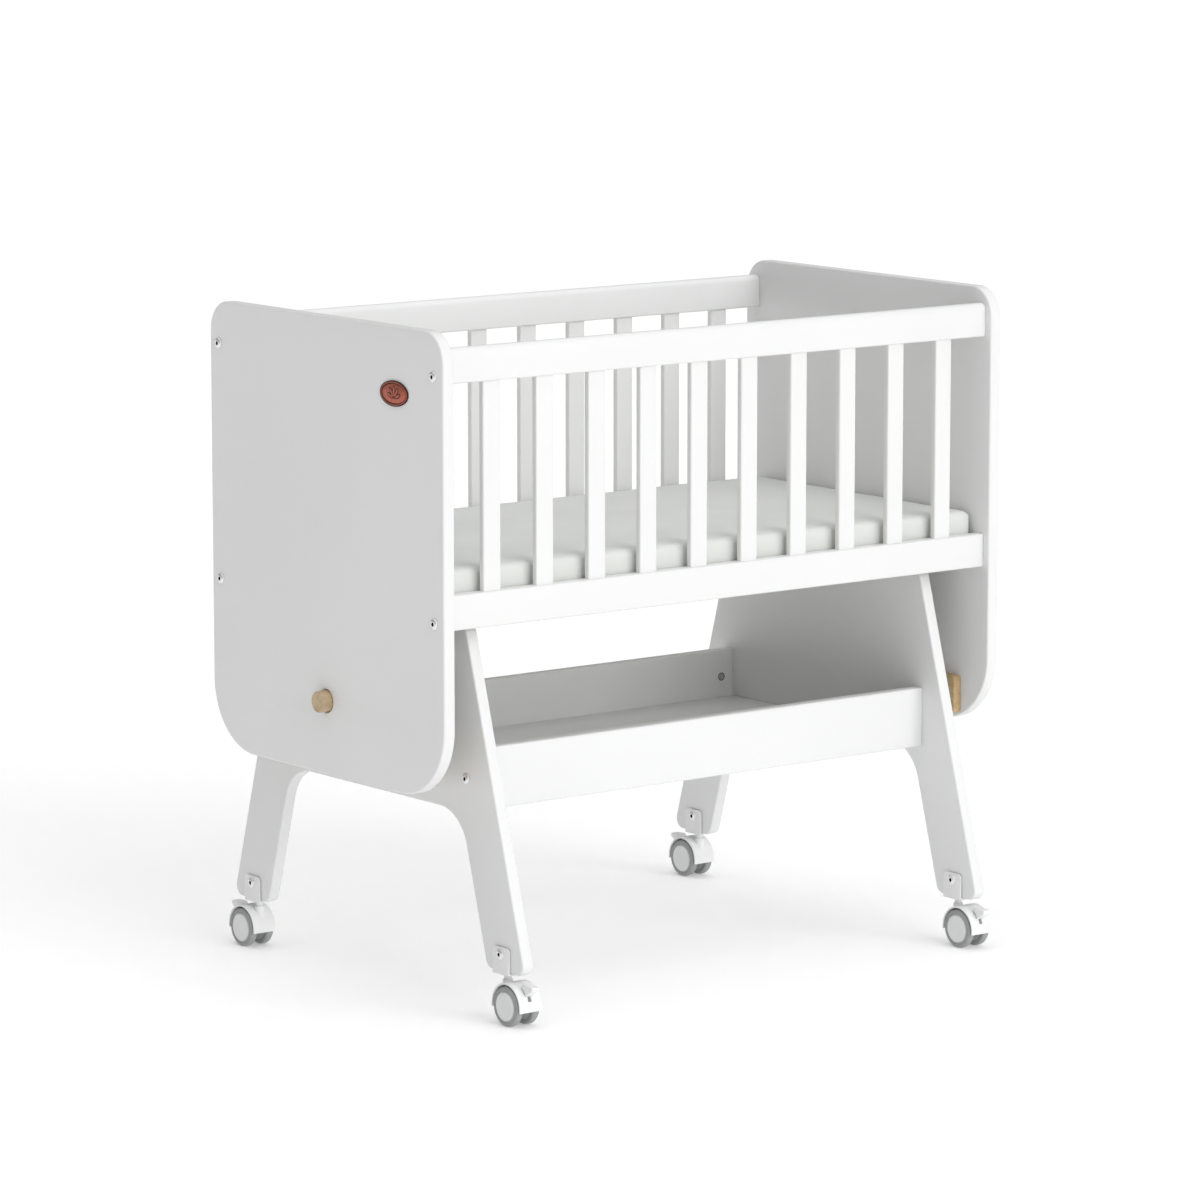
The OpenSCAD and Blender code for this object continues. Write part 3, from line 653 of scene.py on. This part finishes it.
def sweep(bm, section, centre, a0, a1, steps, place):
    """Sweeps (x, radius) points about the axle from angle a0 to a1, measured from +Y up to +Z."""
    rings = []
    for k in range(steps + 1):
        a = math.radians(a0 + (a1 - a0) * k / steps)
        rings.append([bm.verts.new(place @ Vector((x, centre[0] + r * math.cos(a), centre[1] + r * math.sin(a))))
                      for x, r in section])
    for lo_ring, hi_ring in zip(rings, rings[1:]):
        n = len(lo_ring)
        for i in range(n):
            bm.faces.new((lo_ring[i - 1], lo_ring[i], hi_ring[i], hi_ring[i - 1]))
    bm.faces.new(rings[0])
    bm.faces.new(rings[-1][::-1])


def castor(prefix, sx, sy):
    hood_lo, hood_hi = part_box(prefix + "_castor_hood")
    bracket_lo, bracket_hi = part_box(prefix + "_castor_bracket")
    swivel_y = sy * 271 * MM
    swivel_x = (hood_lo.x + hood_hi.x) / 2
    turn = Matrix.Rotation(math.pi if sy > 0 else 0.0, 4, "Z")
    place = Matrix.Translation((swivel_x, swivel_y, 0)) @ turn
    body = prefix + "_castor"

    # Hood: shell over the wheels, web between them, and the boss of the swivel stem
    bm = bmesh.new()
    axle = (-TRAIL, WHEEL_R)
    drop = math.degrees(math.asin(4 / 29.0))
    slot_low, slot_high, slot_half = 180 - 18.2, 180 - 48.2, 2.3 * MM
    for half, inner, outer, soft in ((17 * MM, 27.4 * MM, 29.5 * MM, 0.9 * MM), (5 * MM, 2.5 * MM, 28 * MM, 0.5 * MM)):
        whole = hood_section(-half, half, inner, outer, soft)
        sweep(bm, whole, axle, -drop, slot_high, 48, place)
        sweep(bm, whole, axle, slot_low, 180 + drop, 16, place)
        for x0, x1 in ((-half, -slot_half), (slot_half, half)):
            sweep(bm, hood_section(x0, x1, inner, outer, soft), axle, slot_high, slot_low, 14, place)
    sweep(bm, hood_section(-slot_half, slot_half, 2.5 * MM, 17 * MM, 0.2 * MM), axle, slot_high, slot_low, 6, place)
    across = place @ Matrix.Translation((0, -TRAIL, WHEEL_R)) @ Matrix.Rotation(math.radians(90), 4, "Y")
    lathe("", [(2.6 * MM, -5 * MM), (7.6 * MM, -5 * MM), (8 * MM, -4.6 * MM), (8 * MM, 4.6 * MM), (7.6 * MM, 5 * MM),
               (2.6 * MM, 5 * MM)], across, 40, bm=bm)
    boss = [(6.4 * MM, 30 * MM), (6.5 * MM, 44 * MM)]
    boss += [(6.5 * MM, 53.6 * MM), (6.1 * MM, 54.6 * MM), (5.2 * MM, 55 * MM), (4.1 * MM, 55 * MM), (4.1 * MM, 52 * MM)]
    lathe("", boss, place, 48, bm=bm)
    # foot of the boss, spread over the shell
    first = len(bm.verts)
    foot = [((6.4 + 5.4 * (1 - t) ** 2.2) * MM, (31 + 20 * t) * MM) for t in [k / 12 for k in range(13)]]
    lathe("", foot, Matrix.Identity(4), 48, bm=bm)
    bm.verts.ensure_lookup_table()
    for v in bm.verts[first:]:
        away = Vector((v.co.y + TRAIL, v.co.z - WHEEL_R))
        if away.length < 28.6 * MM:
            away = away.normalized() * 28.6 * MM
            v.co.y, v.co.z = away.x - TRAIL, away.y + WHEEL_R
        v.co = place @ v.co
    hood = link_mesh(prefix + "_hood_shell", bm)
    finish(hood, WHITE_PLASTIC, body, [prefix + "_castor_hood"])

    # Bracket: plate standing off the leg, tab under it, stem
    bm = bmesh.new()
    px0, low = bracket_lo.x, 61.5 * MM
    outline = round_rect(swivel_y - 17 * MM, swivel_y + 17 * MM, low, bracket_hi.z, 1.2 * MM, 6 * MM, 8)
    board("", "x", px0, px0 + 2.1 * MM, outline, (), 0.6 * MM, 3, bm)
    outline = round_rect(swivel_y - 15 * MM, swivel_y + 15 * MM, low + 2 * MM, bracket_hi.z - 2 * MM, 1 * MM, 4 * MM, 8)
    board("", "x", px0 + 2 * MM, px0 + 3.3 * MM, outline, (), 0.1 * MM, 1, bm)
    tab = round_rect(px0 + 1 * MM, bracket_hi.x, swivel_y - 16 * MM, swivel_y + 16 * MM, 1.5 * MM, 1.5 * MM, 5)
    board("", "z", low, low + 2.75 * MM, tab, (), 0.7 * MM, 3, bm)
    stem = [(4 * MM, 50 * MM), (4 * MM, 55.2 * MM), (4.7 * MM, 55.4 * MM), (4.7 * MM, 60.6 * MM), (5.4 * MM, 61.6 * MM)]
    lathe("", stem, Matrix.Translation((swivel_x, swivel_y, 0)), 40, bm=bm)
    bracket = link_mesh(prefix + "_bracket_plate", bm)
    finish(bracket, WHITE_STEEL, "stand", [prefix + "_castor_bracket"])

    # Brake pedal: rounded foot piece over the hood, on a leg pinned inside the slot
    bm = bmesh.new()
    behind = lambda d, z: (-TRAIL - d * MM, z * MM)
    side = [behind(20, 54.9), behind(39, 53.6), behind(39, 48.9), behind(26.8, 41.4)]
    back_arc = arc(-TRAIL, WHEEL_R, 30.6 * MM, 149, 123, 10)
    outline = rounded(side + back_arc, [5 * MM, 2.2 * MM, 2 * MM, 0.8 * MM] + [0] * len(back_arc), 6)
    board("", "x", -6 * MM, 6 * MM, outline, (), 1.5 * MM, 5, bm)
    pin = Vector(behind(20, 41))
    lean = Vector((-20, 16)).normalized()
    square_to = Vector((-lean.y, lean.x))
    leg = [pin - square_to * 2.5 * MM, pin + lean * 8 * MM - square_to * 2.5 * MM,
           pin + lean * 8 * MM + square_to * 2.5 * MM, pin + square_to * 2.5 * MM]
    board("", "x", -1.9 * MM, 1.9 * MM, [(q.x, q.y) for q in leg], (), 0.2 * MM, 1, bm)
    board("", "x", -1.9 * MM, 1.9 * MM, circle(pin.x, pin.y, 3 * MM, 32), (), 0.2 * MM, 1, bm)
    pin_place = Matrix.Translation((0, pin.x, pin.y)) @ Matrix.Rotation(math.radians(90), 4, "Y")
    lathe("", [(0, -4.6 * MM), (1.5 * MM, -4.6 * MM), (1.5 * MM, 4.6 * MM), (0, 4.6 * MM)], pin_place, 24, bm=bm)
    bm.transform(place)
    pedal = link_mesh(prefix + "_pedal_lever", bm)
    finish(pedal, WHITE_PLASTIC, prefix + "_brake", [prefix + "_brake_pedal"])

    # Wheels: hub with a raised disc, and a soft tyre
    for hand, name in ((-1, "left"), (1, "right")):
        spin = Matrix.Translation((swivel_x, swivel_y + sy * TRAIL, WHEEL_R)) @ Matrix.Rotation(
            math.radians(90 * hand), 4, "Y")
        r = 3.2 * MM
        x0, x1 = 7.4 * MM, 18.0 * MM
        tyre = [(19.4 * MM, x1 - 0.9 * MM), (19.8 * MM, x1 - 0.25 * MM), (20.6 * MM, x1)]
        tyre += [(25 * MM - r + r * math.sin(math.radians(11.25 * k)), x1 - r + r * math.cos(math.radians(11.25 * k)))
                 for k in range(9)]
        tyre += [(25 * MM - r + r * math.cos(math.radians(11.25 * k)), x0 + r - r * math.sin(math.radians(11.25 * k)))
                 for k in range(9)]
        tyre += [(18.5 * MM, x0)]
        ob = lathe("%s_%s_tyre" % (prefix, name), tyre, spin, 96)
        wheel_body = "%s_%s_wheel" % (prefix, name)
        cad = "%s_castor_%s_wheel" % (prefix, name)
        finish(ob, TYRE, wheel_body, [cad])
        rim = [(19.6 * MM, x1 - 1.2 * MM), (19.2 * MM, x1 - 0.3 * MM), (18.9 * MM, x1 - 0.05 * MM), (18.1 * MM, x1 - 0.05 * MM),
               (17.9 * MM, x1 - 0.8 * MM)]
        ob = lathe("%s_%s_rim" % (prefix, name), rim, spin, 96)
        finish(ob, RIM, wheel_body, [cad])
        disc = [(17.8 * MM, x1 - 1.2 * MM), (17.7 * MM, 18.2 * MM), (17.3 * MM, 18.55 * MM), (16.6 * MM, 18.7 * MM),
                (12 * MM, 18.62 * MM), (6 * MM, 18.58 * MM), (0, 18.56 * MM)]
        ob = lathe("%s_%s_hub_disc" % (prefix, name), disc, spin, 96)
        finish(ob, HUB, wheel_body, [cad])
        inner_disc = [(0, 7.2 * MM), (13 * MM, 7.2 * MM), (13.3 * MM, 7.8 * MM), (14.3 * MM, 7.8 * MM),
                      (14.6 * MM, 7.2 * MM), (17 * MM, 7.2 * MM), (18.6 * MM, 7.7 * MM), (18.9 * MM, 10 * MM)]
        ob = lathe("%s_%s_hub_back" % (prefix, name), inner_disc, spin, 64)
        finish(ob, RIM, wheel_body, [cad])
    repaint(prefix + "_castor_axle", ZINC)


for fore, sy in (("front", -1), ("rear", 1)):
    for hand, sx in (("left", -1), ("right", 1)):
        castor("%s_%s" % (fore, hand), sx, sy)


# ---------------------------------------------------------------------------
# Mattress: foam block in a cotton cover, inflated a little by a cloth simulation
# ---------------------------------------------------------------------------

def seed_block(name, lo, hi, corner):
    """A closed block with rounded upright corners, ready for remeshing."""
    outline = round_rect(lo.x, hi.x, lo.y, hi.y, corner, corner, 8)
    return board(name, "z", lo.z, hi.z, outline, (), 3.5 * MM, 4)


def simulate(ob, limits, frames=20):
    lo, hi = limits
    mod = ob.modifiers.new("remesh", "REMESH")
    mod.mode = "VOXEL"
    mod.voxel_size = 5 * MM
    bpy.context.view_layer.objects.active = ob
    ob.select_set(True)
    bpy.ops.object.modifier_apply(modifier=mod.name)
    rest = [v.co.copy() for v in ob.data.vertices]
    cloth = ob.modifiers.new("cloth", "CLOTH")
    cs = cloth.settings
    cs.quality = 5
    cs.mass = 0.3
    cs.use_pressure = True
    cs.uniform_pressure_force = 4.0
    cs.effector_weights.gravity = 0.0
    cs.tension_stiffness = cs.compression_stiffness = 25
    cs.bending_stiffness = 2.0
    cloth.point_cache.frame_start, cloth.point_cache.frame_end = 1, frames
    scene = bpy.context.scene
    for f in range(1, frames + 1):
        scene.frame_set(f)
    done = ob.evaluated_get(bpy.context.evaluated_depsgraph_get())
    moved = [v.co.copy() for v in done.data.vertices]
    ob.modifiers.remove(cloth)
    scene.frame_set(1)
    cap = 1.5 * MM
    for v, a, b in zip(ob.data.vertices, rest, moved):
        d = b - a
        if d.length > cap:
            d = d.normalized() * cap
        p = a + d
        v.co = (min(max(p.x, lo.x), hi.x), min(max(p.y, lo.y), hi.y), min(max(p.z, lo.z), hi.z))


lo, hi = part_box("mattress")
seed_lo = Vector((lo.x + 0.5 * MM, lo.y + 0.5 * MM, lo.z))
seed_hi = Vector((hi.x - 0.5 * MM, hi.y - 0.5 * MM, hi.z - 1 * MM))
mattress = seed_block("mattress_cover", seed_lo, seed_hi, 6 * MM)
simulate(mattress, (lo, hi))
for f in mattress.data.polygons:
    f.use_smooth = True
sub = mattress.modifiers.new("subdivision", "SUBSURF")
sub.levels = sub.render_levels = 1
bpy.context.view_layer.objects.active = mattress
bpy.ops.object.modifier_apply(modifier=sub.name)
for v in mattress.data.vertices:
    # soft unevenness of foam under cotton, none where it lies on the base
    lift = (v.co.z - lo.z) / (hi.z - lo.z)
    v.co.z += lift * 0.5 * MM * noise.noise(v.co * 9.0)
finish(mattress, COTTON, "cradle", ["mattress"])


# ---------------------------------------------------------------------------
# Floor, lights, colour
# ---------------------------------------------------------------------------

SKY_LOW, SKY_TOP = 0.0, 1.47
bm = bmesh.new()
bmesh.ops.create_grid(bm, x_segments=2, y_segments=2, size=120)
floor = link_mesh("floor", bm, False)
floor.data.materials.append(FLOOR)
paper = FLOOR.node_tree.nodes["Principled BSDF"]
paper.inputs["Emission Color"].default_value = (1.0, 1.0, 1.0, 1)
paper.inputs["Emission Strength"].default_value = 0.22

world = bpy.data.worlds.new("studio")
bpy.context.scene.world = world
world.use_nodes = True
nt = world.node_tree
background = nt.nodes["Background"]
sky = node(nt, "ShaderNodeTexCoord")
split = node(nt, "ShaderNodeSeparateXYZ")
nt.links.new(sky.outputs["Generated"], split.inputs[0])
up = node(nt, "ShaderNodeMath", operation="MAXIMUM")
up.inputs[1].default_value = 0.0
nt.links.new(split.outputs["Z"], up.inputs[0])
power = node(nt, "ShaderNodeMath", operation="POWER")
power.inputs[1].default_value = 2.0
nt.links.new(up.outputs[0], power.inputs[0])
level = node(nt, "ShaderNodeMath", operation="MULTIPLY_ADD")
level.inputs[1].default_value = SKY_TOP
level.inputs[2].default_value = SKY_LOW
nt.links.new(power.outputs[0], level.inputs[0])
# a bright band at the horizon joins the floor
band = node(nt, "ShaderNodeMapRange")
for key, value in (("From Min", 0.05), ("From Max", 0.09), ("To Min", 1.02), ("To Max", 0.0)):
    band.inputs[key].default_value = value
nt.links.new(split.outputs["Z"], band.inputs["Value"])
brighter = node(nt, "ShaderNodeMath", operation="MAXIMUM")
nt.links.new(level.outputs[0], brighter.inputs[0])
nt.links.new(band.outputs["Result"], brighter.inputs[1])
nt.links.new(brighter.outputs[0], background.inputs["Strength"])
background.inputs["Color"].default_value = (1.0, 1.0, 1.0, 1)


def sun(name, strength, angle, direction):
    data = bpy.data.lights.new(name, "SUN")
    data.energy = strength
    data.angle = math.radians(angle)
    ob = bpy.data.objects.new(name, data)
    bpy.context.collection.objects.link(ob)
    ob.rotation_mode = "QUATERNION"
    ob.rotation_quaternion = Vector(direction).to_track_quat("-Z", "Y")


sun("key", 1.70, 50, (-0.10, 0.93, -0.36))
bpy.context.scene.view_settings.view_transform = "Standard"
